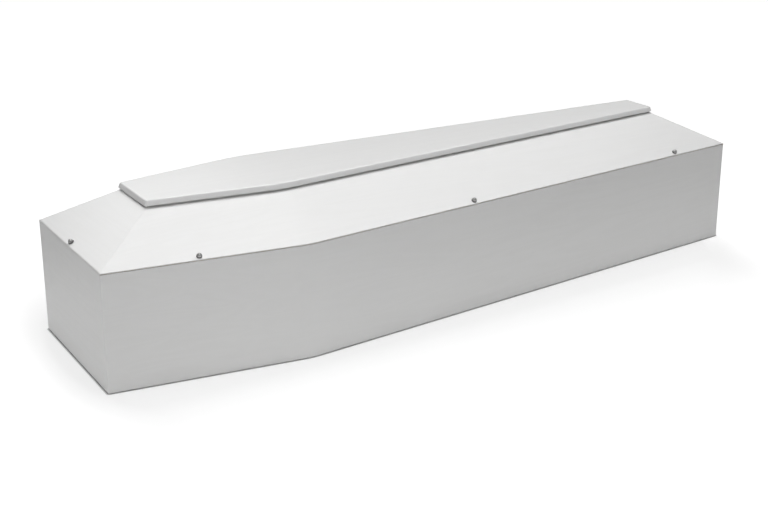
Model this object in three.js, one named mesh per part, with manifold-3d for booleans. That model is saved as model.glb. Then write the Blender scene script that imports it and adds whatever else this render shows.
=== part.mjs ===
// A white lacquered pine coffin with a closed hip lid, in millimetres.
//
// +X runs from the head end to the foot end, +Z is up, and the origin is on the floor under
// the middle of the coffin. Seen by someone lying in it, the right side faces -Y.
// The box is five boards: a bottom between two mitred ends and two long sides, and each long side
// is one board, kerfed on its inside and bent at the shoulder. The lid is four sloping boards,
// mitred at the hips, with a rounded board on top. Eight domed screws hold the lid to the rim.

import * as THREE from 'three';
import { mergeVertices } from 'three/addons/utils/BufferGeometryUtils.js';
import Module from 'manifold-3d';

const wasm = await Module();
wasm.setup();

// Plan of the box over its outside faces
const coffinLength = 2000;
const headWidth = 440;
const shoulderWidth = 600;
const footWidth = 400;
const shoulderFromHead = 500;
const wallBendRadius = 220; // outside radius of the bend at each shoulder

// Box
const boxHeight = 298;
const wallThickness = 22;
const bottomThickness = 18;

// Lid
const lidBoardThickness = 16;
const lidEdgeHeight = 3; // the blunt lower edge of each sloping board
const lidRise = 92; // from the blunt edge to the underside of the top board
const lidEndRun = 176; // how far the head and foot slopes lean in, level
const lidTopFootWidth = 95; // between the tops of the side slopes where they meet the foot slope
const lidTopBendRadius = 400; // the softer bend at the shoulder of the top board
const topBoardThickness = 16;
const topBoardOverhang = 10; // past the tops of the slopes
const topBoardUndercutHeight = 2.4; // at the foot of its edge
const topBoardUndercutInset = 4;
const topBoardLean = 5.5; // how far its edge leans in above the undercut
const topBoardRounding = 6; // of its upper arris

// Screws
const screwHeadRadius = 7;
const screwHeadHeight = 10;
const screwRimHeight = 2.5;
const screwShankRadius = 2.2;
const screwShankLength = 18;
const screwTipLength = 4;
const firstScrewFromHead = 232;
const lastScrewFromFoot = 212;
const middleScrewOffset = 6; // towards the foot, from halfway between the other two
const sideScrewInset = 8.5; // level distance in from the outside face
const endScrewInset = 10;

// Fits
const seatGap = 0.3; // between boards that lie on or against each other
const mitreTrim = 0.2; // taken off each board where two meet in a mitre
const screwClearance = 0.3; // all round a shank, and under a head

// Smoothness of the round stretches
const bendSteps = 8;
const roundingSteps = 4;
const screwSides = 20;
const domeSteps = 4;

const lacquer = new THREE.MeshStandardMaterial({ color: 0xf2f1ec, roughness: 0.42, metalness: 0 });
const bareWood = new THREE.MeshStandardMaterial({ color: 0xe3c590, roughness: 0.7, metalness: 0 });
const polishedMetal = new THREE.MeshStandardMaterial({ color: 0xc9c9c6, roughness: 0.2, metalness: 1 });

// Corners of the right half of the plan, in order from head to foot
const rightHead = new THREE.Vector2(-coffinLength / 2, -headWidth / 2);
const rightShoulder = new THREE.Vector2(shoulderFromHead - coffinLength / 2, -shoulderWidth / 2);
const rightFoot = new THREE.Vector2(coffinLength / 2, -footWidth / 2);

// How far the side slopes lean in, level, so that they leave the stated width at the foot
const footTaper = Math.atan2(rightFoot.y - rightShoulder.y, rightFoot.x - rightShoulder.x);
const widthAtFootSlope = footWidth + 2 * lidEndRun * Math.tan(footTaper);
const lidSideRun = (widthAtFootSlope - lidTopFootWidth) / 2 * Math.cos(footTaper);

// Angles of the slopes above level, and where the top board's edges lie
const sideSlope = Math.atan2(lidRise, lidSideRun);
const endSlope = Math.atan2(lidRise, lidEndRun);
const topBoardSideInset = lidSideRun - topBoardOverhang;
const topBoardEndInset = lidEndRun - topBoardOverhang;

function mirrored(point) {
  return new THREE.Vector2(point.x, -point.y);
}

// A line in plan, moved inward; from and to run anticlockwise round the plan
function insetLine(from, to, inset) {
  const along = to.clone().sub(from).normalize();
  const inward = new THREE.Vector2(-along.y, along.x);
  return { point: from.clone().addScaledVector(inward, inset), along, inward };
}

function crossing(lineA, lineB) {
  const apart = lineB.point.clone().sub(lineA.point);
  const distance = apart.cross(lineB.along) / lineA.along.cross(lineB.along);
  return lineA.point.clone().addScaledVector(lineA.along, distance);
}

function headLine(inset) {
  return insetLine(mirrored(rightHead), rightHead, inset);
}

function footLine(inset) {
  return insetLine(rightFoot, mirrored(rightFoot), inset);
}

// The arc that rounds a corner, as points from the side of `before` to the side of `after`
function roundedCorner(before, corner, after, radius, steps) {
  const back = before.clone().sub(corner).normalize();
  const on = after.clone().sub(corner).normalize();
  const halfAngle = Math.acos(back.dot(on)) / 2;
  const middle = back.clone().add(on).normalize();
  const centre = corner.clone().addScaledVector(middle, radius / Math.sin(halfAngle));
  const start = corner.clone().addScaledVector(back, radius / Math.tan(halfAngle)).sub(centre);
  const turn = Math.sign(start.cross(on)) * (Math.PI - 2 * halfAngle);
  const points = [];
  for (let step = 0; step <= steps; step += 1) {
    const spoke = start.clone().rotateAround(new THREE.Vector2(), turn * step / steps);
    points.push(centre.clone().add(spoke));
  }
  return points;
}

// The right side of the plan from the head corner to the foot corner, moved inward
function rightSidePath(sideInset, endInset, bendRadius, trim) {
  const headward = insetLine(rightHead, rightShoulder, sideInset);
  const footward = insetLine(rightShoulder, rightFoot, sideInset);
  const head = crossing(headLine(endInset), headward);
  const shoulder = crossing(headward, footward);
  const foot = crossing(footward, footLine(endInset));
  return [
    head.clone().addScaledVector(headward.along, trim),
    ...roundedCorner(head, shoulder, foot, bendRadius, bendSteps),
    foot.clone().addScaledVector(footward.along, -trim),
  ];
}

// The head or foot end of the plan, right corner and left corner, moved inward
function endPath(endLine, sideFrom, sideTo, sideInset, trim) {
  const corner = crossing(endLine, insetLine(sideFrom, sideTo, sideInset));
  corner.y += trim;
  return [corner, mirrored(corner)];
}

// The whole plan as one closed outline, moved inward
function planOutline(sideInset, endInset, bendRadius) {
  const right = rightSidePath(sideInset, endInset, bendRadius, 0);
  const left = right.map(mirrored).reverse();
  return [...right, ...left];
}

function solidOf(geometry) {
  const bare = geometry.clone();
  bare.deleteAttribute('normal');
  bare.deleteAttribute('uv');
  const merged = mergeVertices(bare);
  return new wasm.Manifold(new wasm.Mesh({
    numProp: 3,
    vertProperties: new Float32Array(merged.attributes.position.array),
    triVerts: new Uint32Array(merged.index.array),
  }));
}

function geometryOf(solid) {
  const mesh = solid.getMesh();
  const geometry = new THREE.BufferGeometry();
  geometry.setAttribute('position', new THREE.BufferAttribute(mesh.vertProperties, 3));
  geometry.setIndex(new THREE.BufferAttribute(mesh.triVerts, 1));
  return geometry;
}

// A board swept along paths, one for each corner of its cross-section, with flat ends.
// The corners run anticlockwise seen from the far end of the paths.
function sweptBoard(paths) {
  const corners = paths.length;
  const stations = paths[0].length;
  const vertex = (corner, station) => (corner % corners) * stations + station;
  const index = [];
  for (let corner = 0; corner < corners; corner += 1) {
    for (let station = 0; station + 1 < stations; station += 1) {
      const near = vertex(corner, station);
      const far = vertex(corner, station + 1);
      const nextNear = vertex(corner + 1, station);
      const nextFar = vertex(corner + 1, station + 1);
      index.push(near, nextNear, nextFar, near, nextFar, far);
    }
  }
  for (let corner = 1; corner + 1 < corners; corner += 1) {
    index.push(vertex(0, 0), vertex(corner + 1, 0), vertex(corner, 0));
    const last = stations - 1;
    index.push(vertex(0, last), vertex(corner, last), vertex(corner + 1, last));
  }
  const position = paths.flat().flatMap((point) => point.toArray());
  const geometry = new THREE.BufferGeometry();
  geometry.setAttribute('position', new THREE.Float32BufferAttribute(position, 3));
  geometry.setIndex(index);
  return geometry;
}

function atHeight(path, height) {
  return path.map((point) => new THREE.Vector3(point.x, point.y, height));
}

// Cross-section of a wall: how far in each corner lies, and how high
const wallSection = [
  { sideInset: 0, endInset: 0, height: 0 },
  { sideInset: wallThickness, endInset: wallThickness, height: 0 },
  { sideInset: wallThickness, endInset: wallThickness, height: boxHeight },
  { sideInset: 0, endInset: 0, height: boxHeight },
].map((corner) => ({ ...corner, bendRadius: wallBendRadius - corner.sideInset }));

// Cross-section of a sloping lid board, above the rim: it seats level on the rim, rises from a
// blunt lower edge, and is cut level again under the top board
function slopeInset(slope, run) {
  const levelWidth = lidBoardThickness / Math.sin(slope);
  const seatWidth = (lidBoardThickness / Math.cos(slope) - lidEdgeHeight) / Math.tan(slope);
  return { outerTop: run, innerTop: run + levelWidth, seat: seatWidth };
}

const sideLean = slopeInset(sideSlope, lidSideRun);
const endLean = slopeInset(endSlope, lidEndRun);
const slopeTop = lidEdgeHeight + lidRise;
const lidSection = [
  { sideInset: 0, endInset: 0, height: 0 },
  { sideInset: sideLean.seat, endInset: endLean.seat, height: 0 },
  { sideInset: sideLean.innerTop, endInset: endLean.innerTop, height: slopeTop },
  { sideInset: sideLean.outerTop, endInset: endLean.outerTop, height: slopeTop },
  { sideInset: 0, endInset: 0, height: lidEdgeHeight },
].map((corner) => ({
  ...corner,
  bendRadius: corner.height === slopeTop ? lidTopBendRadius : wallBendRadius,
}));

function rightSideBoard(section) {
  return sweptBoard(section.map(({ sideInset, endInset, height, bendRadius }) => (
    atHeight(rightSidePath(sideInset, endInset, bendRadius, mitreTrim), height)
  )));
}

function headBoard(section) {
  return sweptBoard(section.map(({ sideInset, endInset, height }) => (
    atHeight(endPath(headLine(endInset), rightHead, rightShoulder, sideInset, mitreTrim), height).reverse()
  )));
}

function footBoard(section) {
  return sweptBoard(section.map(({ sideInset, endInset, height }) => (
    atHeight(endPath(footLine(endInset), rightShoulder, rightFoot, sideInset, mitreTrim), height)
  )));
}

function mirroredBoard(geometry) {
  const other = geometry.clone().scale(1, -1, 1);
  const order = other.index.array;
  for (let start = 0; start < order.length; start += 3) {
    [order[start + 1], order[start + 2]] = [order[start + 2], order[start + 1]];
  }
  return other;
}

function bottomBoard() {
  const inset = wallThickness + seatGap;
  const outline = new THREE.Shape(planOutline(inset, inset, wallBendRadius - inset));
  return new THREE.ExtrudeGeometry(outline, { depth: bottomThickness, bevelEnabled: false });
}

// The edge of the top board from the underside up: an undercut, a face that leans in, and a
// rounded arris. The board is its plan outline swept up along that edge.
function topBoard() {
  const edge = [
    { inset: topBoardUndercutInset, height: 0 },
    { inset: 0, height: topBoardUndercutHeight },
  ];
  const lean = Math.atan2(topBoardLean, topBoardThickness - topBoardUndercutHeight);
  const turn = Math.PI / 2 - lean;
  const centre = topBoardLean + topBoardRounding * Math.tan(turn / 2);
  for (let step = 0; step <= roundingSteps; step += 1) {
    const angle = lean + (step / roundingSteps) * turn;
    const inset = centre - topBoardRounding * Math.cos(angle);
    const height = topBoardThickness - topBoardRounding * (1 - Math.sin(angle));
    edge.push({ inset, height });
  }
  const outlines = edge.map(({ inset, height }) => {
    const bendRadius = lidTopBendRadius - inset;
    const outline = planOutline(topBoardSideInset + inset, topBoardEndInset + inset, bendRadius);
    return atHeight(outline, slopeTop + seatGap + height);
  });
  return sweptBoard(outlines[0].map((_, corner) => outlines.map((outline) => outline[corner])));
}

// A domed head above z = 0 and a pointed shank below it
function screw() {
  const domeHeight = screwHeadHeight - screwRimHeight;
  const profile = [
    new THREE.Vector2(0, -screwShankLength),
    new THREE.Vector2(screwShankRadius, screwTipLength - screwShankLength),
    new THREE.Vector2(screwShankRadius, 0),
    new THREE.Vector2(screwHeadRadius, 0),
  ];
  for (let step = 0; step < domeSteps; step += 1) {
    const angle = (step / domeSteps) * (Math.PI / 2);
    const height = screwRimHeight + domeHeight * Math.sin(angle);
    profile.push(new THREE.Vector2(screwHeadRadius * Math.cos(angle), height));
  }
  profile.push(new THREE.Vector2(0, screwHeadHeight));
  return new THREE.LatheGeometry(profile, screwSides).rotateX(Math.PI / 2);
}

// Where a screw meets the outer face of a slope, above the rim, and which way it points
function screwSeat(foot, outward, inset, slope) {
  const height = lidEdgeHeight + inset * Math.tan(slope);
  const lean = Math.sin(slope);
  return {
    position: new THREE.Vector3(foot.x, foot.y, height),
    direction: new THREE.Vector3(outward.x * lean, outward.y * lean, Math.cos(slope)),
  };
}

function rightScrewSeat(fromHead) {
  const headward = fromHead < shoulderFromHead;
  const from = headward ? rightHead : rightShoulder;
  const to = headward ? rightShoulder : rightFoot;
  const line = insetLine(from, to, sideScrewInset);
  const across = insetLine(new THREE.Vector2(0, 1), new THREE.Vector2(0, -1), fromHead - coffinLength / 2);
  return screwSeat(crossing(line, across), line.inward.clone().negate(), sideScrewInset, sideSlope);
}

function endScrewSeat(line) {
  const foot = new THREE.Vector2(line.point.x, 0);
  return screwSeat(foot, line.inward.clone().negate(), endScrewInset, endSlope);
}

const lastScrewFromHead = coffinLength - lastScrewFromFoot;
const middleScrewFromHead = (firstScrewFromHead + lastScrewFromHead) / 2 + middleScrewOffset;
const rightSeats = [firstScrewFromHead, middleScrewFromHead, lastScrewFromHead].map(rightScrewSeat);
const headSeats = [endScrewSeat(headLine(endScrewInset))];
const footSeats = [endScrewSeat(footLine(endScrewInset))];
const leftSeats = rightSeats.map(({ position, direction }) => ({
  position: position.clone().setY(-position.y),
  direction: direction.clone().setY(-direction.y),
}));

const upright = new THREE.Vector3(0, 0, 1);

function facing(direction) {
  return new THREE.Quaternion().setFromUnitVectors(upright, direction);
}

// Takes the clearance hole of each seat's shank out of a board whose base is `lift` above the rim
function drilled(geometry, seats, lift) {
  const radius = screwShankRadius + screwClearance;
  const depth = screwShankLength + screwClearance;
  const drill = new THREE.CylinderGeometry(radius, radius, depth + screwHeadRadius, screwSides);
  drill.rotateX(Math.PI / 2).translate(0, 0, (screwHeadRadius - depth) / 2);
  let solid = solidOf(geometry);
  for (const { position, direction } of seats) {
    const place = new THREE.Matrix4().compose(
      position.clone().setZ(position.z - lift),
      facing(direction),
      new THREE.Vector3(1, 1, 1),
    );
    solid = solid.subtract(solidOf(drill.clone().applyMatrix4(place)));
  }
  return geometryOf(solid);
}

function addMesh(parent, name, geometry, material) {
  const mesh = new THREE.Mesh(geometry, material);
  mesh.name = name;
  parent.add(mesh);
  return mesh;
}

function addScrews(parent, name, seats) {
  seats.forEach(({ position, direction }, place) => {
    const number = seats.length > 1 ? `_${place + 1}` : '';
    const mesh = addMesh(parent, `lid_screw_${name}${number}`, screw(), polishedMetal);
    mesh.position.copy(position).addScaledVector(direction, screwClearance);
    mesh.quaternion.copy(facing(direction));
  });
}

const rimBelowLid = -(boxHeight + seatGap);
const box = new THREE.Group();
const rightWall = drilled(rightSideBoard(wallSection), rightSeats, rimBelowLid);
addMesh(box, 'bottom_board', bottomBoard(), bareWood);
addMesh(box, 'right_side_board', rightWall, lacquer);
addMesh(box, 'left_side_board', mirroredBoard(rightWall), lacquer);
addMesh(box, 'head_end_board', drilled(headBoard(wallSection), headSeats, rimBelowLid), lacquer);
addMesh(box, 'foot_end_board', drilled(footBoard(wallSection), footSeats, rimBelowLid), lacquer);

const lid = new THREE.Group();
lid.position.z = boxHeight + seatGap;
const rightSlope = drilled(rightSideBoard(lidSection), rightSeats, 0);
addMesh(lid, 'lid_right_slope', rightSlope, lacquer);
addMesh(lid, 'lid_left_slope', mirroredBoard(rightSlope), lacquer);
addMesh(lid, 'lid_head_slope', drilled(headBoard(lidSection), headSeats, 0), lacquer);
addMesh(lid, 'lid_foot_slope', drilled(footBoard(lidSection), footSeats, 0), lacquer);
addMesh(lid, 'lid_top_board', topBoard(), lacquer);
addScrews(lid, 'right', rightSeats);
addScrews(lid, 'left', leftSeats);
addScrews(lid, 'head', headSeats);
addScrews(lid, 'foot', footSeats);

const coffin = new THREE.Group();
coffin.add(box, lid);

export default coffin;
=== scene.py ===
import math

import bmesh
import bpy
from mathutils import Matrix, Vector


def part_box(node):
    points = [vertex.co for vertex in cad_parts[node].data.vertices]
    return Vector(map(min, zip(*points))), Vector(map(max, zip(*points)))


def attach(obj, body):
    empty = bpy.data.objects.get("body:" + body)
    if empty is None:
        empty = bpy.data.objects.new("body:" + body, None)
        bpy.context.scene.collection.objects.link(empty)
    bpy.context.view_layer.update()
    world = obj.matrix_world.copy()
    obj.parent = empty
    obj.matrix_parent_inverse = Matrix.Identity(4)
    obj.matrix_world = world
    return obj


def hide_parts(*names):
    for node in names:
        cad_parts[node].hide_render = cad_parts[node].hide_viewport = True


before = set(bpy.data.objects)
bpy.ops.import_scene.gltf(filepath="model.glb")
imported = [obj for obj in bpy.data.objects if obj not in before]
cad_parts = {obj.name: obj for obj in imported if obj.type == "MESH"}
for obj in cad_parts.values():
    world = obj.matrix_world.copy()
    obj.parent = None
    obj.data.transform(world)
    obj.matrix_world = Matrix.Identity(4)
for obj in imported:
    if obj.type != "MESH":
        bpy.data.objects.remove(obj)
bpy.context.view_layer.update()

print("frame loaded:", len(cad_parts), "nodes")


# Camera, where the photograph was taken from
cameraSetup = {
    "place": (-1.8781, -2.8400, 1.3705),
    "heading": 32.002,  # degrees from +Y towards +X
    "tilt": -17.433,  # degrees above level
    "roll": -0.08,
    "focalLength": 59.75,  # millimetres
    "sensorWidth": 36.0,
    "shiftUp": -0.1,
}


def makeCamera(setup):
    lens = bpy.data.cameras.new("photoCamera")
    lens.sensor_width = setup["sensorWidth"]
    lens.lens = setup["focalLength"]
    lens.shift_y = setup["shiftUp"]
    camera = bpy.data.objects.new("photoCamera", lens)
    bpy.context.scene.collection.objects.link(camera)
    turn = Matrix.Rotation(math.radians(-setup["heading"]), 4, "Z")
    tip = Matrix.Rotation(math.radians(90 + setup["tilt"]), 4, "X")
    roll = Matrix.Rotation(math.radians(setup["roll"]), 4, "Z")
    camera.matrix_world = Matrix.Translation(setup["place"]) @ turn @ tip @ roll
    bpy.context.scene.camera = camera


makeCamera(cameraSetup)
print("camera placed")


# Helpers for node trees

def addNode(tree, kind, **settings):
    node = tree.nodes.new(kind)
    for name, value in settings.items():
        setattr(node, name, value)
    return node


def setValues(node, values):
    for name, value in values.items():
        node.inputs[name].default_value = value
    return node


def newMaterial(name):
    material = bpy.data.materials.new(name)
    material.use_nodes = True
    material.node_tree.nodes.clear()
    return material


def newGroup(name, inputs, outputs):
    group = bpy.data.node_groups.new(name, "ShaderNodeTree")
    for socketName, value in inputs.items():
        kind = "NodeSocketFloat" if isinstance(value, float) else "NodeSocketColor"
        socket = group.interface.new_socket(socketName, in_out="INPUT", socket_type=kind)
        socket.default_value = value
    for socketName in outputs:
        group.interface.new_socket(socketName, in_out="OUTPUT", socket_type="NodeSocketFloat")
    return group


def placeGroup(tree, group, values):
    return setValues(addNode(tree, "ShaderNodeGroup", node_tree=group), values)


ringBands = 40.0  # how closely the growth rings follow each other


# Straight grain along one board: rings drawn out along the length, with finer fibres between them.
# Turn is the angle in plan between +X and the run of the grain.
def makeGrainGroup():
    group = newGroup(
        "pineGrain",
        {"Turn": 0.0, "Ring Scale": 30.0, "Fibre Scale": 420.0, "Waver": 0.6, "Stretch": 14.0},
        ["Rings", "Fibres"],
    )
    link = group.links.new
    start = addNode(group, "NodeGroupInput")
    end = addNode(group, "NodeGroupOutput")
    place = addNode(group, "ShaderNodeTexCoord")
    turned = addNode(group, "ShaderNodeVectorRotate", rotation_type="Z_AXIS")
    link(place.outputs["Object"], turned.inputs["Vector"])
    link(start.outputs["Turn"], turned.inputs["Angle"])
    shrink = addNode(group, "ShaderNodeMath", operation="DIVIDE")
    shrink.inputs[0].default_value = 1.0
    link(start.outputs["Stretch"], shrink.inputs[1])
    factors = addNode(group, "ShaderNodeCombineXYZ")
    setValues(factors, {"Y": 1.0, "Z": 1.0})
    link(shrink.outputs[0], factors.inputs["X"])
    drawnOut = addNode(group, "ShaderNodeVectorMath", operation="MULTIPLY")
    link(turned.outputs["Vector"], drawnOut.inputs[0])
    link(factors.outputs["Vector"], drawnOut.inputs[1])

    rings = addNode(group, "ShaderNodeTexNoise")
    setValues(rings, {"Detail": 3.0, "Roughness": 0.45})
    link(drawnOut.outputs["Vector"], rings.inputs["Vector"])
    link(start.outputs["Ring Scale"], rings.inputs["Scale"])
    link(start.outputs["Waver"], rings.inputs["Distortion"])
    bands = addNode(group, "ShaderNodeMath", operation="SINE")
    spread = addNode(group, "ShaderNodeMath", operation="MULTIPLY")
    spread.inputs[1].default_value = ringBands
    link(rings.outputs["Fac"], spread.inputs[0])
    link(spread.outputs[0], bands.inputs[0])
    ringShade = addNode(group, "ShaderNodeMapRange")
    setValues(ringShade, {"From Min": -1.0, "From Max": 1.0})
    link(bands.outputs[0], ringShade.inputs["Value"])
    link(ringShade.outputs["Result"], end.inputs["Rings"])

    fibres = addNode(group, "ShaderNodeTexNoise")
    setValues(fibres, {"Detail": 4.0, "Roughness": 0.6})
    link(drawnOut.outputs["Vector"], fibres.inputs["Vector"])
    link(start.outputs["Fibre Scale"], fibres.inputs["Scale"])
    link(fibres.outputs["Fac"], end.inputs["Fibres"])
    return group


# Slow unevenness and fine speckle of a finish that a hand or a spray gun laid on
def makeFinishGroup():
    group = newGroup(
        "finishUnevenness",
        {"Drift Scale": 3.0, "Peel Scale": 600.0, "Rub Scale": 40.0},
        ["Drift", "Peel", "Rub"],
    )
    start = addNode(group, "NodeGroupInput")
    end = addNode(group, "NodeGroupOutput")
    place = addNode(group, "ShaderNodeTexCoord")
    for name, detail in (("Drift", 2.0), ("Peel", 1.5), ("Rub", 5.0)):
        noise = addNode(group, "ShaderNodeTexNoise")
        setValues(noise, {"Detail": detail, "Roughness": 0.5})
        group.links.new(place.outputs["Object"], noise.inputs["Vector"])
        group.links.new(start.outputs[name + " Scale"], noise.inputs["Scale"])
        group.links.new(noise.outputs["Fac"], end.inputs[name])
    return group


grainGroup = makeGrainGroup()
finishGroup = makeFinishGroup()


noiseRange = (0.3, 0.7)  # where nearly all of a noise pattern's values lie


def mixColour(tree, factor, low, high):
    mix = addNode(tree, "ShaderNodeMix", data_type="RGBA")
    mix.inputs["A"].default_value = (*low, 1.0)
    mix.inputs["B"].default_value = (*high, 1.0)
    tree.links.new(factor, mix.inputs["Factor"])
    return mix


def mapRange(tree, value, fromLow, fromHigh, toLow, toHigh):
    shade = addNode(tree, "ShaderNodeMapRange")
    limits = {"From Min": fromLow, "From Max": fromHigh, "To Min": toLow, "To Max": toHigh}
    setValues(shade, limits)
    tree.links.new(value, shade.inputs["Value"])
    return shade.outputs["Result"]


# White satin lacquer, sprayed over pine: the grain just telegraphs through it
lacquerSetup = {
    "white": (0.80, 0.80, 0.795),
    "shade": (0.782, 0.782, 0.775),
    "rough": (0.34, 0.44),
    "coat": 0.25,
    "coatRoughness": 0.22,
    "refraction": 1.5,
    "grainDepth": 0.00003,
    "peelDepth": 0.000012,
    "relief": 0.6,
    "grain": {"Ring Scale": 22.0, "Stretch": 16.0},
    "finish": {"Drift Scale": 2.6, "Peel Scale": 520.0},
}


def makeLacquer(name, grainTurn):
    material = newMaterial(name)
    tree = material.node_tree
    link = tree.links.new
    grain = placeGroup(tree, grainGroup, {"Turn": grainTurn, **lacquerSetup["grain"]})
    finish = placeGroup(tree, finishGroup, lacquerSetup["finish"])
    tone = addNode(tree, "ShaderNodeMath", operation="MULTIPLY")
    link(grain.outputs["Rings"], tone.inputs[0])
    link(finish.outputs["Drift"], tone.inputs[1])
    colour = mixColour(tree, tone.outputs[0], lacquerSetup["white"], lacquerSetup["shade"])
    rough = mapRange(tree, finish.outputs["Rub"], *noiseRange, *lacquerSetup["rough"])
    grainRelief = addNode(tree, "ShaderNodeBump")
    setValues(grainRelief, {"Strength": lacquerSetup["relief"], "Distance": lacquerSetup["grainDepth"]})
    link(grain.outputs["Fibres"], grainRelief.inputs["Height"])
    peelRelief = addNode(tree, "ShaderNodeBump")
    setValues(peelRelief, {"Strength": lacquerSetup["relief"], "Distance": lacquerSetup["peelDepth"]})
    link(finish.outputs["Peel"], peelRelief.inputs["Height"])
    link(grainRelief.outputs["Normal"], peelRelief.inputs["Normal"])
    shader = addNode(tree, "ShaderNodeBsdfPrincipled")
    setValues(shader, {
        "Coat Weight": lacquerSetup["coat"],
        "Coat Roughness": lacquerSetup["coatRoughness"],
        "IOR": lacquerSetup["refraction"],
    })
    link(colour.outputs["Result"], shader.inputs["Base Color"])
    link(rough, shader.inputs["Roughness"])
    link(peelRelief.outputs["Normal"], shader.inputs["Normal"])
    output = addNode(tree, "ShaderNodeOutputMaterial")
    link(shader.outputs["BSDF"], output.inputs["Surface"])
    return material


# Bare planed pine, for the bottom and the inside
pineSetup = {
    "early": (0.74, 0.55, 0.33),
    "late": (0.56, 0.34, 0.16),
    "lateFrom": 0.35,  # where in a growth ring the dark late wood begins
    "lateMost": 0.75,
    "driftShade": (0.6, 1.0),
    "rough": (0.55, 0.72),
    "grainDepth": 0.00015,
    "relief": 0.8,
    "grain": {"Ring Scale": 11.0, "Stretch": 18.0},
    "finish": {"Drift Scale": 2.0, "Rub Scale": 60.0},
}


def makePine(name, grainTurn):
    material = newMaterial(name)
    tree = material.node_tree
    link = tree.links.new
    grain = placeGroup(tree, grainGroup, {"Turn": grainTurn, **pineSetup["grain"]})
    finish = placeGroup(tree, finishGroup, pineSetup["finish"])
    dark = addNode(tree, "ShaderNodeMath", operation="MULTIPLY")
    late = mapRange(tree, grain.outputs["Rings"], pineSetup["lateFrom"], 1.0, 0.0, pineSetup["lateMost"])
    link(late, dark.inputs[0])
    link(mapRange(tree, finish.outputs["Drift"], *noiseRange, *pineSetup["driftShade"]), dark.inputs[1])
    colour = mixColour(tree, dark.outputs[0], pineSetup["early"], pineSetup["late"])
    rough = mapRange(tree, grain.outputs["Fibres"], *noiseRange, *pineSetup["rough"])
    relief = addNode(tree, "ShaderNodeBump")
    setValues(relief, {"Strength": pineSetup["relief"], "Distance": pineSetup["grainDepth"]})
    link(grain.outputs["Fibres"], relief.inputs["Height"])
    shader = addNode(tree, "ShaderNodeBsdfPrincipled")
    link(colour.outputs["Result"], shader.inputs["Base Color"])
    link(rough, shader.inputs["Roughness"])
    link(relief.outputs["Normal"], shader.inputs["Normal"])
    output = addNode(tree, "ShaderNodeOutputMaterial")
    link(shader.outputs["BSDF"], output.inputs["Surface"])
    return material


# Nickel of the screw heads: a lighter nickel on the crown is a painted highlight, and a dark nickel on the
# rim is painted shade
nickelSetup = {
    "crown": {"bright": (0.56, 0.555, 0.55), "dull": (0.43, 0.425, 0.42), "rough": (0.28, 0.40)},
    "rim": {"bright": (0.22, 0.217, 0.213), "dull": (0.14, 0.138, 0.135), "rough": (0.35, 0.5)},
    "grazing": (0.12, 0.12, 0.12, 1.0),  # how little it reflects at a flat angle
    "finish": {"Drift Scale": 120.0, "Rub Scale": 900.0},
}


# Each part gets its own nickel: light on the crown as painted highlight, dark on the rim as painted shade,
# each with random drift
def makeNickel(name, part):
    setup = nickelSetup[part]
    material = newMaterial(name)
    tree = material.node_tree
    finish = placeGroup(tree, finishGroup, nickelSetup["finish"])
    colour = mixColour(tree, finish.outputs["Drift"], setup["bright"], setup["dull"])
    rough = mapRange(tree, finish.outputs["Rub"], *noiseRange, *setup["rough"])
    shader = addNode(tree, "ShaderNodeBsdfPrincipled")
    setValues(shader, {"Metallic": 1.0, "Specular Tint": nickelSetup["grazing"]})
    tree.links.new(colour.outputs["Result"], shader.inputs["Base Color"])
    tree.links.new(rough, shader.inputs["Roughness"])
    output = addNode(tree, "ShaderNodeOutputMaterial")
    tree.links.new(shader.outputs["BSDF"], output.inputs["Surface"])
    return material


quarterTurn = math.radians(90)
sideFinish = [makeLacquer("whiteLacquerLengthwise", 0.0), makePine("barePineLengthwise", 0.0)]
endFinish = [makeLacquer("whiteLacquerCrosswise", quarterTurn), makePine("barePineCrosswise", quarterTurn)]
# Crown and rim nickels: painted highlight and painted shade on the screw heads
screwFinish = [makeNickel("nickelCrownPaintedHighlight", "crown"), makeNickel("nickelRimPaintedShade", "rim")]
print("materials made")


# Plan of the box and the lid
planSetup = {
    "shoulderFromHead": 0.5,
    "shoulderWidth": 0.6,  # between the corners that the shoulder bends round off
    "bend": 0.22,  # outside radius of the bend at each shoulder
    "bendSteps": 16,
    "cornerSteps": 6,
    "mitreTrim": 0.0002,  # what the frame takes off each board at a mitre
}

wallLow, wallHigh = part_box("right_side_board")
headLow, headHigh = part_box("head_end_board")
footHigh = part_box("foot_end_board")[1]
slopeLow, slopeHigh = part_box("lid_right_slope")
boardLow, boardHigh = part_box("lid_top_board")
bottomLow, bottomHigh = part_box("bottom_board")

halfHead = headHigh.y + planSetup["mitreTrim"]
halfFoot = footHigh.y + planSetup["mitreTrim"]
halfShoulder = planSetup["shoulderWidth"] / 2
shoulderX = headLow.x + planSetup["shoulderFromHead"]
planCorners = [
    Vector((headLow.x, -halfHead)),
    Vector((shoulderX, -halfShoulder)),
    Vector((footHigh.x, -halfFoot)),
    Vector((footHigh.x, halfFoot)),
    Vector((shoulderX, halfShoulder)),
    Vector((headLow.x, halfHead)),
]


# A line of the plan, moved inward
def insetLine(start, end, inset):
    along = (end - start).normalized()
    return start + Vector((-along.y, along.x)) * inset, along


def crossing(lineA, lineB):
    pointA, alongA = lineA
    pointB, alongB = lineB
    return pointA + alongA * ((pointB - pointA).cross(alongB) / alongA.cross(alongB))


def planLines(side, end):
    insets = [side, side, end, side, side, end]
    around = planCorners[1:] + planCorners[:1]
    return [insetLine(*ends) for ends in zip(planCorners, around, insets)]


# The arc that rounds a corner, as points from the side of before to the side of after
def roundedCorner(before, corner, after, radius, steps):
    back = (before - corner).normalized()
    onward = (after - corner).normalized()
    halfAngle = back.angle(onward) / 2
    centre = corner + (back + onward).normalized() * (radius / math.sin(halfAngle))
    spoke = corner + back * (radius / math.tan(halfAngle)) - centre
    turn = math.copysign(math.pi - 2 * halfAngle, back.cross(onward) * -1)
    points = []
    for step in range(steps + 1):
        angle = turn * step / steps
        turned = Matrix.Rotation(angle, 2) @ spoke
        points.append(centre + turned)
    return points


shoulderCorners = (1, 4)


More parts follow.
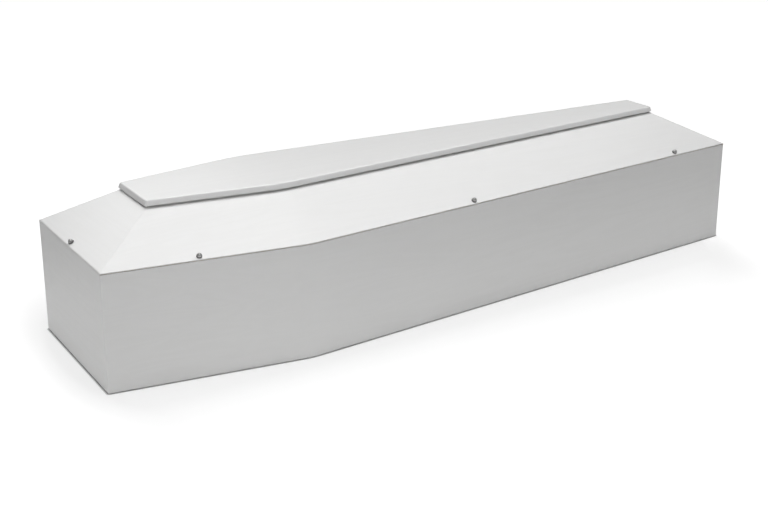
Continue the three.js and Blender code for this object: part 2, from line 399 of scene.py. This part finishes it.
# The six rounded corners of the plan at one point of a board's section
def cornerArcs(point):
    lines = planLines(point["side"], point["end"])
    corners = [crossing(lines[i - 1], lines[i]) for i in range(len(lines))]
    arcs = []
    for i, corner in enumerate(corners):
        shoulder = i in shoulderCorners
        radius = point["bend"] if shoulder else point["corner"]
        steps = planSetup["bendSteps"] if shoulder else planSetup["cornerSteps"]
        arcs.append(roundedCorner(corners[i - 1], corner, corners[(i + 1) % len(corners)], radius, steps))
    return arcs


# The path of one board at one point of its section, from the middle of a corner to the next
def boardPath(point, board):
    arcs = cornerArcs(point)
    middle = planSetup["cornerSteps"] // 2
    first, between, last = {
        "right": (0, 1, 2),
        "foot": (2, None, 3),
        "left": (3, 4, 5),
        "head": (5, None, 0),
    }[board]
    path = arcs[first][middle:]
    if between is not None:
        path += arcs[between]
    path += arcs[last][:middle + 1]
    return [Vector((spot.x, spot.y, point["height"])) for spot in path]


# Rounds the arrises of a section. Each corner says how far in it lies on the sides and on the ends,
# how high, how round its arris is, and which finish the stretch after it has.
def roundedSection(corners, endPerSide, steps=4):
    flat = [Vector((corner["side"], corner["height"])) for corner in corners]
    section = []
    for i, corner in enumerate(corners):
        arc = roundedCorner(flat[i - 1], flat[i], flat[(i + 1) % len(flat)], corner["arris"], steps)
        for spot in arc:
            point = dict(corner)
            point["side"] = spot.x
            point["end"] = corner["end"] + (spot.x - flat[i].x) * endPerSide
            point["height"] = spot.y
            point["last"] = spot is arc[-1]
            section.append(point)
    return section


meshSetup = {
    "mergeWithin": 0.000002,
    "sharpFrom": 48,  # degrees between two faces
}


def newPiece(name, shape, materials, node):
    data = bpy.data.meshes.new(name)
    bmesh.ops.remove_doubles(shape, verts=shape.verts, dist=meshSetup["mergeWithin"])
    bmesh.ops.recalc_face_normals(shape, faces=shape.faces)
    shape.to_mesh(data)
    shape.free()
    for material in materials:
        data.materials.append(material)
    data.shade_smooth()
    data.set_sharp_from_angle(angle=math.radians(meshSetup["sharpFrom"]))
    piece = bpy.data.objects.new(name, data)
    bpy.context.scene.collection.objects.link(piece)
    weighted = piece.modifiers.new("flatFacesStayFlat", "WEIGHTED_NORMAL")
    weighted.keep_sharp = True
    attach(piece, "root")
    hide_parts(node)
    return piece


# A board swept along its path, with a flat mitre at each end
def sweptBoard(name, section, board, node):
    shape = bmesh.new()
    rows = []
    for point in section:
        rows.append([shape.verts.new(spot) for spot in boardPath(point, board)])
    for i, row in enumerate(rows):
        onward = rows[(i + 1) % len(rows)]
        bare = section[i]["bareAfter"] and section[i]["last"]
        bare = bare or section[i]["bareArris"]
        for j in range(len(row) - 1):
            face = shape.faces.new((row[j], row[j + 1], onward[j + 1], onward[j]))
            face.material_index = 1 if bare else 0
    for j in (0, -1):
        cap = shape.faces.new([row[j] for row in rows])
        cap.material_index = 1
    finish = endFinish if board in ("head", "foot") else sideFinish
    return newPiece(name, shape, finish, node)


# The four walls of the box
wallSetup = {
    "sideRimArris": 0.0016,
    "endRimArris": 0.0004,
    "baseArris": 0.0030,
    "innerArris": 0.0010,
    "cornerRounding": 0.0011,  # of the upright corners
}


def wallSection(rimArris):
    thick = headHigh.x - headLow.x
    inner = {"side": thick, "end": thick, "bend": planSetup["bend"] - thick, "corner": 0.0}
    outer = {"side": 0.0, "end": 0.0, "bend": planSetup["bend"], "corner": wallSetup["cornerRounding"]}
    corners = [
        {**outer, "height": wallLow.z, "arris": wallSetup["baseArris"], "bareAfter": True},
        {**inner, "height": wallLow.z, "arris": wallSetup["innerArris"], "bareAfter": True},
        {**inner, "height": wallHigh.z, "arris": wallSetup["innerArris"], "bareAfter": False},
        {**outer, "height": wallHigh.z, "arris": rimArris, "bareAfter": False},
    ]
    for corner, bare in zip(corners, (False, True, True, False)):
        corner["bareArris"] = bare
    return roundedSection(corners, 1.0)


sideWalls = wallSection(wallSetup["sideRimArris"])
endWalls = wallSection(wallSetup["endRimArris"])
sweptBoard("sideWallRight", sideWalls, "right", "right_side_board")
sweptBoard("sideWallLeft", sideWalls, "left", "left_side_board")
sweptBoard("headWall", endWalls, "head", "head_end_board")
sweptBoard("footWall", endWalls, "foot", "foot_end_board")
print("walls built")


# The four slopes of the lid
lidSetup = {
    "sideRun": 0.16387,  # how far the side slopes lean in, level
    "endRun": 0.176,
    "edgeHeight": 0.003,  # of the blunt lower edge
    "thickness": 0.016,
    "topBend": 0.4,  # radius of the shoulder bend under the top board
    "sideEdgeArris": 0.0010,  # along the top of the blunt edge
    "endEdgeArris": 0.0047,
    "shadowLine": (0.0020, 0.0013),  # a rebate under the edge of the sides: how deep, and how high
    "shadowArris": 0.0002,
    "innerArris": 0.0008,
    "hipRounding": 0.0045,
}
lidRise = slopeHigh.z - slopeLow.z - lidSetup["edgeHeight"]


def lidSection(shadowLine, edgeArris):
    edge = lidSetup["edgeHeight"]
    thick = lidSetup["thickness"]
    runs = (lidSetup["sideRun"], lidSetup["endRun"])
    slopes = [math.atan2(lidRise, run) for run in runs]
    seats = [(thick / math.cos(slope) - edge) / math.tan(slope) for slope in slopes]
    levels = [thick / math.sin(slope) for slope in slopes]
    foot, top = slopeLow.z, slopeHigh.z
    low = {"bend": planSetup["bend"], "corner": wallSetup["cornerRounding"], "bareArris": False}
    high = {"bend": lidSetup["topBend"], "corner": lidSetup["hipRounding"], "bareArris": True}
    under = [(0.0, 0.0)]
    if shadowLine:
        deep, tall = shadowLine
        under = [(0.0, tall), (deep, tall), (deep, 0.0)]
    corners = [
        {**low, "side": inset, "end": inset, "height": foot + rise, "arris": lidSetup["shadowArris"],
         "bareAfter": False}
        for inset, rise in under
    ]
    corners[-1]["bareAfter"] = True
    corners += [
        {**low, "side": seats[0], "end": seats[1], "height": foot, "arris": lidSetup["innerArris"],
         "bareAfter": True, "corner": 0.0},
        {**high, "side": runs[0] + levels[0], "end": runs[1] + levels[1], "height": top,
         "arris": lidSetup["innerArris"], "bareAfter": True, "corner": 0.0},
        {**high, "side": runs[0], "end": runs[1], "height": top, "arris": lidSetup["innerArris"],
         "bareAfter": False, "bareArris": False},
        {**low, "side": 0.0, "end": 0.0, "height": foot + edge, "arris": edgeArris, "bareAfter": False},
    ]
    return roundedSection(corners, lidSetup["endRun"] / lidSetup["sideRun"])


sideSlopes = lidSection(lidSetup["shadowLine"], lidSetup["sideEdgeArris"])
endSlopes = lidSection(None, lidSetup["endEdgeArris"])
sweptBoard("lidSlopeRight", sideSlopes, "right", "lid_right_slope")
sweptBoard("lidSlopeLeft", sideSlopes, "left", "lid_left_slope")
sweptBoard("lidSlopeHead", endSlopes, "head", "lid_head_slope")
sweptBoard("lidSlopeFoot", endSlopes, "foot", "lid_foot_slope")
print("lid slopes built")


# A flat board over the whole plan, from a stack of outlines
def plateBoard(name, section, materials, node):
    shape = bmesh.new()
    rings = []
    for point in section:
        around = [spot for arc in cornerArcs(point) for spot in arc]
        rings.append([shape.verts.new((spot.x, spot.y, point["height"])) for spot in around])
    for ring, onward in zip(rings, rings[1:]):
        for j in range(len(ring)):
            k = (j + 1) % len(ring)
            shape.faces.new((ring[j], ring[k], onward[k], onward[j]))
    shape.faces.new(rings[0])
    shape.faces.new(rings[-1])
    return newPiece(name, shape, materials, node)


# The edge of a plate from its underside up to its top face. Each corner of the edge says how far in
# it lies, how high, and how round it is.
def plateSection(plate, edge, steps):
    deep = plate["bend"] / 2
    spots = [Vector((deep, edge[0][1]))]
    spots += [Vector((inset, height)) for inset, height, arris in edge]
    spots.append(Vector((deep, edge[-1][1])))
    section = []
    for i, (inset, height, arris) in enumerate(edge):
        for spot in roundedCorner(spots[i], spots[i + 1], spots[i + 2], arris, steps):
            section.append({
                "side": plate["side"] + spot.x,
                "end": plate["end"] + spot.x,
                "bend": plate["bend"] - spot.x,
                "corner": max(plate["corner"] - spot.x, 0.0),
                "height": spot.y,
            })
    return section


# The edge of the top board is undercut at its foot, leans in a little above that, and ends in a round
topBoardSetup = {
    "overhang": 0.010,
    "bend": 0.4,
    "corner": 0.009,
    "undercut": (0.0040, 0.0024),  # how far in the underside ends, and how high the undercut is
    "lean": 0.0055,
    "topArris": 0.0060,
    "noseArris": 0.0006,
    "arrisSteps": 8,
}


def topBoardEdge(board, low, high):
    deep, tall = board["undercut"]
    return [
        (deep, low, board["noseArris"]),
        (0.0, low + tall, board["noseArris"]),
        (board["lean"], high, board["topArris"]),
    ]


topPlate = {
    "side": lidSetup["sideRun"] - topBoardSetup["overhang"],
    "end": lidSetup["endRun"] - topBoardSetup["overhang"],
    "bend": topBoardSetup["bend"],
    "corner": topBoardSetup["corner"],
}
topEdge = topBoardEdge(topBoardSetup, boardLow.z, boardHigh.z)
topSection = plateSection(topPlate, topEdge, topBoardSetup["arrisSteps"])
plateBoard("lidTopBoard", topSection, sideFinish[:1], "lid_top_board")

bottomSetup = {"arris": 0.0008, "arrisSteps": 3}
bottomInset = bottomLow.x - headLow.x
bottomPlate = {
    "side": bottomInset,
    "end": bottomInset,
    "bend": planSetup["bend"] - bottomInset,
    "corner": 0.0,
}
bottomEdge = [(0.0, level, bottomSetup["arris"]) for level in (bottomLow.z, bottomHigh.z)]
bottomSection = plateSection(bottomPlate, bottomEdge, bottomSetup["arrisSteps"])
plateBoard("bottomBoard", bottomSection, sideFinish[1:], "bottom_board")
print("top board and bottom built")


# Domed screws through the lower edge of the lid into the rim
screwSetup = {
    "headRadius": 0.0070,
    "headHeight": 0.0100,
    "rimHeight": 0.0025,
    "rimArris": 0.0003,
    "domeSetIn": 0.00075,  # from the rim to the foot of the dome
    "paintedHighlightFrom": 0.0045,  # above this the head takes the lighter nickel, a painted highlight; below it the dark nickel, painted shade
    "shankRadius": 0.0022,
    "shankLength": 0.018,
    "tipLength": 0.004,
    "standOff": 0.0003,
    "firstFromHead": 0.232,
    "lastFromFoot": 0.212,
    "middleOffset": 0.006,  # towards the foot, from halfway between the other two
    "sideInset": 0.0085,
    "endInset": 0.010,
    "sides": 48,
    "domeSteps": 10,
    "recessReach": 0.0035,
    "recessWidth": 0.0015,
    "recessDepth": 0.0015,
    "recessTaper": (0.62, 1.25),  # share of its reach at its bottom, and above the head
    "recessOver": 0.001,
    "turnBetween": 37,  # degrees, so that no two stopped alike
}


def screwProfile(screw):
    shank = screw["shankRadius"]
    head = screw["headRadius"]
    bevel = screw["rimArris"]
    rim = screw["rimHeight"]
    profile = [
        (0.0, -screw["shankLength"]),
        (shank, screw["tipLength"] - screw["shankLength"]),
        (shank, 0.0),
        (head - bevel, 0.0),
        (head, bevel),
        (head, rim - bevel),
        (head - bevel, rim),
    ]
    domeRadius = head - screw["domeSetIn"]
    for step in range(screw["domeSteps"] + 1):
        angle = math.radians(90 * step / screw["domeSteps"])
        height = rim + (screw["headHeight"] - rim) * math.sin(angle)
        profile.append((domeRadius * math.cos(angle), height))
    return profile


# A turned shape: below the crown height its faces take the second finish, the dark nickel that paints
# shade round the rim
def lathed(profile, sides, paintedHighlightFrom):
    shape = bmesh.new()
    rings = []
    for radius, height in profile:
        ring = []
        for i in range(sides):
            angle = 2 * math.pi * i / sides
            ring.append(shape.verts.new((radius * math.cos(angle), radius * math.sin(angle), height)))
        rings.append(ring)
    for ring, onward in zip(rings, rings[1:]):
        for i in range(sides):
            j = (i + 1) % sides
            face = shape.faces.new((ring[i], ring[j], onward[j], onward[i]))
            face.material_index = 1 if onward[i].co.z < paintedHighlightFrom else 0
    bmesh.ops.remove_doubles(shape, verts=shape.verts, dist=meshSetup["mergeWithin"])
    bmesh.ops.recalc_face_normals(shape, faces=shape.faces)
    return shape


# The driver's cross, narrower at the bottom of the recess
def crossCutter(screw):
    shape = bmesh.new()
    levels = (screw["headHeight"] - screw["recessDepth"], screw["headHeight"] + screw["recessOver"])
    reach, half = screw["recessReach"], screw["recessWidth"] / 2
    rings = []
    for height, share in zip(levels, screw["recessTaper"]):
        ring = []
        for quarter in range(4):
            turn = Matrix.Rotation(quarterTurn * quarter, 2)
            for spot in ((half, half), (half, reach * share), (-half, reach * share)):
                flat = turn @ Vector(spot)
                ring.append(shape.verts.new((flat.x, flat.y, height)))
        rings.append(ring)
    count = len(rings[0])
    for i in range(count):
        j = (i + 1) % count
        shape.faces.new((rings[0][i], rings[0][j], rings[1][j], rings[1][i]))
    shape.faces.new(rings[0])
    shape.faces.new(rings[1])
    bmesh.ops.recalc_face_normals(shape, faces=shape.faces)
    return shape


def screwMesh(screw):
    objects = []
    for name, shape in (
        ("screwBlank", lathed(screwProfile(screw), screw["sides"], screw["paintedHighlightFrom"])),
        ("screwCross", crossCutter(screw)),
    ):
        data = bpy.data.meshes.new(name)
        shape.to_mesh(data)
        shape.free()
        item = bpy.data.objects.new(name, data)
        bpy.context.scene.collection.objects.link(item)
        objects.append(item)
    blank, cross = objects
    cut = blank.modifiers.new("recess", "BOOLEAN")
    cut.operation = "DIFFERENCE"
    cut.object = cross
    graph = bpy.context.evaluated_depsgraph_get()
    mesh = bpy.data.meshes.new_from_object(blank.evaluated_get(graph))
    for item in objects:
        bpy.data.objects.remove(item)
    return mesh


# Where a screw goes: a point on the outer face of a slope, and the way that face looks
def screwSeat(spot, inward, inset, run):
    slope = math.atan2(lidRise, run)
    height = slopeLow.z + lidSetup["edgeHeight"] + inset * math.tan(slope)
    facing = Vector((-inward.x * math.sin(slope), -inward.y * math.sin(slope), math.cos(slope)))
    return Vector((spot.x, spot.y, height)), facing


def sideSeat(screw, fromHead, left):
    lines = planLines(screw["sideInset"], screw["endInset"])
    beforeShoulder = fromHead < planSetup["shoulderFromHead"]
    point, along = lines[0 if beforeShoulder else 1]
    x = headLow.x + fromHead
    spot = point + along * ((x - point.x) / along.x)
    inward = Vector((-along.y, along.x))
    if left:
        spot.y = -spot.y
        inward.y = -inward.y
    return screwSeat(spot, inward, screw["sideInset"], lidSetup["sideRun"])


def endSeat(screw, x, towardsX):
    spot = Vector((x + towardsX * screw["endInset"], 0.0))
    return screwSeat(spot, Vector((towardsX, 0.0)), screw["endInset"], lidSetup["endRun"])


def screwSeats(screw):
    seats = {}
    first = screw["firstFromHead"]
    last = footHigh.x - headLow.x - screw["lastFromFoot"]
    middle = (first + last) / 2 + screw["middleOffset"]
    for number, fromHead in enumerate((first, middle, last), 1):
        seats[f"right_{number}"] = sideSeat(screw, fromHead, False)
        seats[f"left_{number}"] = sideSeat(screw, fromHead, True)
    seats["head"] = endSeat(screw, headLow.x, 1.0)
    seats["foot"] = endSeat(screw, footHigh.x, -1.0)
    return seats


def addScrews(screw):
    master = screwMesh(screw)
    for number, (name, (spot, facing)) in enumerate(screwSeats(screw).items()):
        shape = bmesh.new()
        shape.from_mesh(master)
        drivenTo = Matrix.Rotation(math.radians(screw["turnBetween"] * number), 4, "Z")
        upright = facing.to_track_quat("Z", "Y").to_matrix().to_4x4()
        place = Matrix.Translation(spot + facing * screw["standOff"]) @ upright @ drivenTo
        bmesh.ops.transform(shape, matrix=place, verts=shape.verts)
        newPiece(f"screw_{name}", shape, screwFinish, f"lid_screw_{name}")
    bpy.data.meshes.remove(master)


addScrews(screwSetup)
print("screws driven")


# Floor and soft light
stageSetup = {
    "floorReach": 40.0,
    "floorWhite": 0.8,
    "floorWhiteSeen": 0.2,  # what the camera sees of it, so that shading on it stays faint
    "floorRough": (0.37, 0.43),
    "rubRange": (0.2, 0.8),
    "finish": {"Drift Scale": 1.2, "Rub Scale": 24.0},
    "glow": (0.245, 0.095),  # the floor glows like a light table, most of all close to the coffin
    "glowEdge": (0.50, 0.75),  # how far from the coffin's long axis near ends, and far begins
    "seenGlowWithPaintedShade": (0.68, 1.0),  # what the camera sees of the glow: dimmer close to the coffin than far off, a painted shade round its base
    "seenEdge": (0.33, 0.75),
    "glowEnds": (0.0, 1.0, 1.0),  # the axis: its middle, its half length, and the weight of a step past it
    "seenEnds": (-0.05, 0.87, 2.8),
    # the floor's glow is darkened by ambient occlusion close to the coffin's base: a painted contact
    # shadow
    "paintedContactShadowReach": 0.0065,
    "paintedContactShadowDepth": 4.0,
    "paintedContactShadowSamples": 8,
    "skyLight": 0.02,
    "skySeen": 1.0,
}
lampSetup = {
    "overhead": {"place": (0.3, -0.3, 2.4), "aim": (0.3, -0.3, 0.0), "size": (5.0, 2.0),
                 "power": 41.6, "spread": 110},
    "behind": {"place": (-0.6, 3.0, 2.4), "aim": (-0.8, 0.0, 0.3), "size": (3.0, 1.5),
               "power": 30.4, "spread": 180},
    "frontPool": {"place": (-0.8, -1.6, 2.2), "aim": (-0.8, -1.6, 0.0), "size": (1.0, 1.0),
                  "power": 5.0, "spread": 60},
    "headFill": {"place": (-1.2, -0.9, 1.8), "aim": (-0.9, -0.7, 0.0), "size": (1.6, 1.2),
                 "power": 0.8, "spread": 120},
    "headSide": {"place": (-3.0, -3.0, 2.2), "aim": (-0.3, -0.2, 0.2), "size": (2.0, 1.5),
                 "power": 12.0, "spread": 180},
}


def mathNode(tree, operation, *values):
    node = addNode(tree, "ShaderNodeMath", operation=operation)
    for socket, value in zip(node.inputs, values):
        if isinstance(value, (int, float)):
            socket.default_value = value
        else:
            tree.links.new(value, socket)
    return node.outputs[0]


# How far a point of the floor lies from the long axis of the coffin
def distanceFromAxis(tree, middle, reach, stretch):
    place = addNode(tree, "ShaderNodeTexCoord")
    parts = addNode(tree, "ShaderNodeSeparateXYZ")
    tree.links.new(place.outputs["Object"], parts.inputs["Vector"])
    along = mathNode(tree, "ABSOLUTE", mathNode(tree, "SUBTRACT", parts.outputs["X"], middle))
    beyond = mathNode(tree, "MAXIMUM", mathNode(tree, "SUBTRACT", along, reach), 0.0)
    beyond = mathNode(tree, "MULTIPLY", beyond, stretch)
    squares = [mathNode(tree, "MULTIPLY", part, part) for part in (beyond, parts.outputs["Y"])]
    return mathNode(tree, "SQRT", mathNode(tree, "ADD", *squares))


def makeFloor(setup):
    material = newMaterial("paleStageFloor")
    tree = material.node_tree
    finish = placeGroup(tree, finishGroup, setup["finish"])
    rough = mapRange(tree, finish.outputs["Rub"], *setup["rubRange"], *setup["floorRough"])
    distance = distanceFromAxis(tree, *setup["glowEnds"])
    glow = mapRange(tree, distance, *setup["glowEdge"], *setup["glow"])
    # What the camera sees of the floor dims towards the coffin: painted shade
    seenDistance = distanceFromAxis(tree, *setup["seenEnds"])
    seenGlowWithPaintedShade = mapRange(tree, seenDistance, *setup["seenEdge"], *setup["seenGlowWithPaintedShade"])
    path = addNode(tree, "ShaderNodeLightPath")
    strength = addNode(tree, "ShaderNodeMix", data_type="FLOAT")
    for socket, value in (("Factor", path.outputs["Is Camera Ray"]), ("A", glow), ("B", seenGlowWithPaintedShade)):
        tree.links.new(value, strength.inputs[socket])
    # Ambient occlusion darkens the floor's glow right at the coffin's base: a painted contact shadow
    paintedContactShadow = addNode(tree, "ShaderNodeAmbientOcclusion", samples=setup["paintedContactShadowSamples"])
    paintedContactShadow.inputs["Distance"].default_value = setup["paintedContactShadowReach"]
    paintedShadowFactor = mathNode(tree, "POWER", paintedContactShadow.outputs["AO"], setup["paintedContactShadowDepth"])
    strength = mathNode(tree, "MULTIPLY", strength.outputs["Result"], paintedShadowFactor)
    lows = [(white,) * 3 for white in (setup["floorWhite"], setup["floorWhiteSeen"])]
    colour = mixColour(tree, path.outputs["Is Camera Ray"], *lows)
    shader = addNode(tree, "ShaderNodeBsdfPrincipled")
    setValues(shader, {"Emission Color": (1.0, 1.0, 1.0, 1.0)})
    tree.links.new(colour.outputs["Result"], shader.inputs["Base Color"])
    tree.links.new(rough, shader.inputs["Roughness"])
    tree.links.new(strength, shader.inputs["Emission Strength"])
    output = addNode(tree, "ShaderNodeOutputMaterial")
    tree.links.new(shader.outputs["BSDF"], output.inputs["Surface"])
    reach = setup["floorReach"]
    shape = bmesh.new()
    corners = [(-reach, -reach), (reach, -reach), (reach, reach), (-reach, reach)]
    shape.faces.new([shape.verts.new((x, y, 0.0)) for x, y in corners])
    data = bpy.data.meshes.new("stageFloor")
    shape.to_mesh(data)
    shape.free()
    data.materials.append(material)
    floor = bpy.data.objects.new("stageFloor", data)
    bpy.context.scene.collection.objects.link(floor)


# The sky is seen brighter than it lights, so that the backdrop stays white
def makeSky(setup):
    world = bpy.data.worlds.new("softSky")
    bpy.context.scene.world = world
    world.use_nodes = True
    tree = world.node_tree
    tree.nodes.clear()
    path = addNode(tree, "ShaderNodeLightPath")
    strength = mapRange(
        tree, path.outputs["Is Camera Ray"], 0.0, 1.0, setup["skyLight"], setup["skySeen"]
    )
    sky = addNode(tree, "ShaderNodeBackground")
    sky.inputs["Color"].default_value = (1.0, 1.0, 1.0, 1.0)
    tree.links.new(strength, sky.inputs["Strength"])
    output = addNode(tree, "ShaderNodeOutputWorld")
    tree.links.new(sky.outputs["Background"], output.inputs["Surface"])


def makeLamp(name, lamp):
    light = bpy.data.lights.new(name, "AREA")
    light.shape = "RECTANGLE"
    light.size, light.size_y = lamp["size"]
    light.energy = lamp["power"]
    light.spread = math.radians(lamp["spread"])
    item = bpy.data.objects.new(name, light)
    item.location = lamp["place"]
    aim = Vector(lamp["aim"]) - Vector(lamp["place"])
    item.rotation_euler = aim.to_track_quat("-Z", "Y").to_euler()
    item.visible_camera = False
    bpy.context.scene.collection.objects.link(item)


makeFloor(stageSetup)
makeSky(stageSetup)
for lampName, lampValues in lampSetup.items():
    makeLamp(lampName, lampValues)
bpy.context.scene.view_settings.view_transform = "Standard"
print("stage and light set")
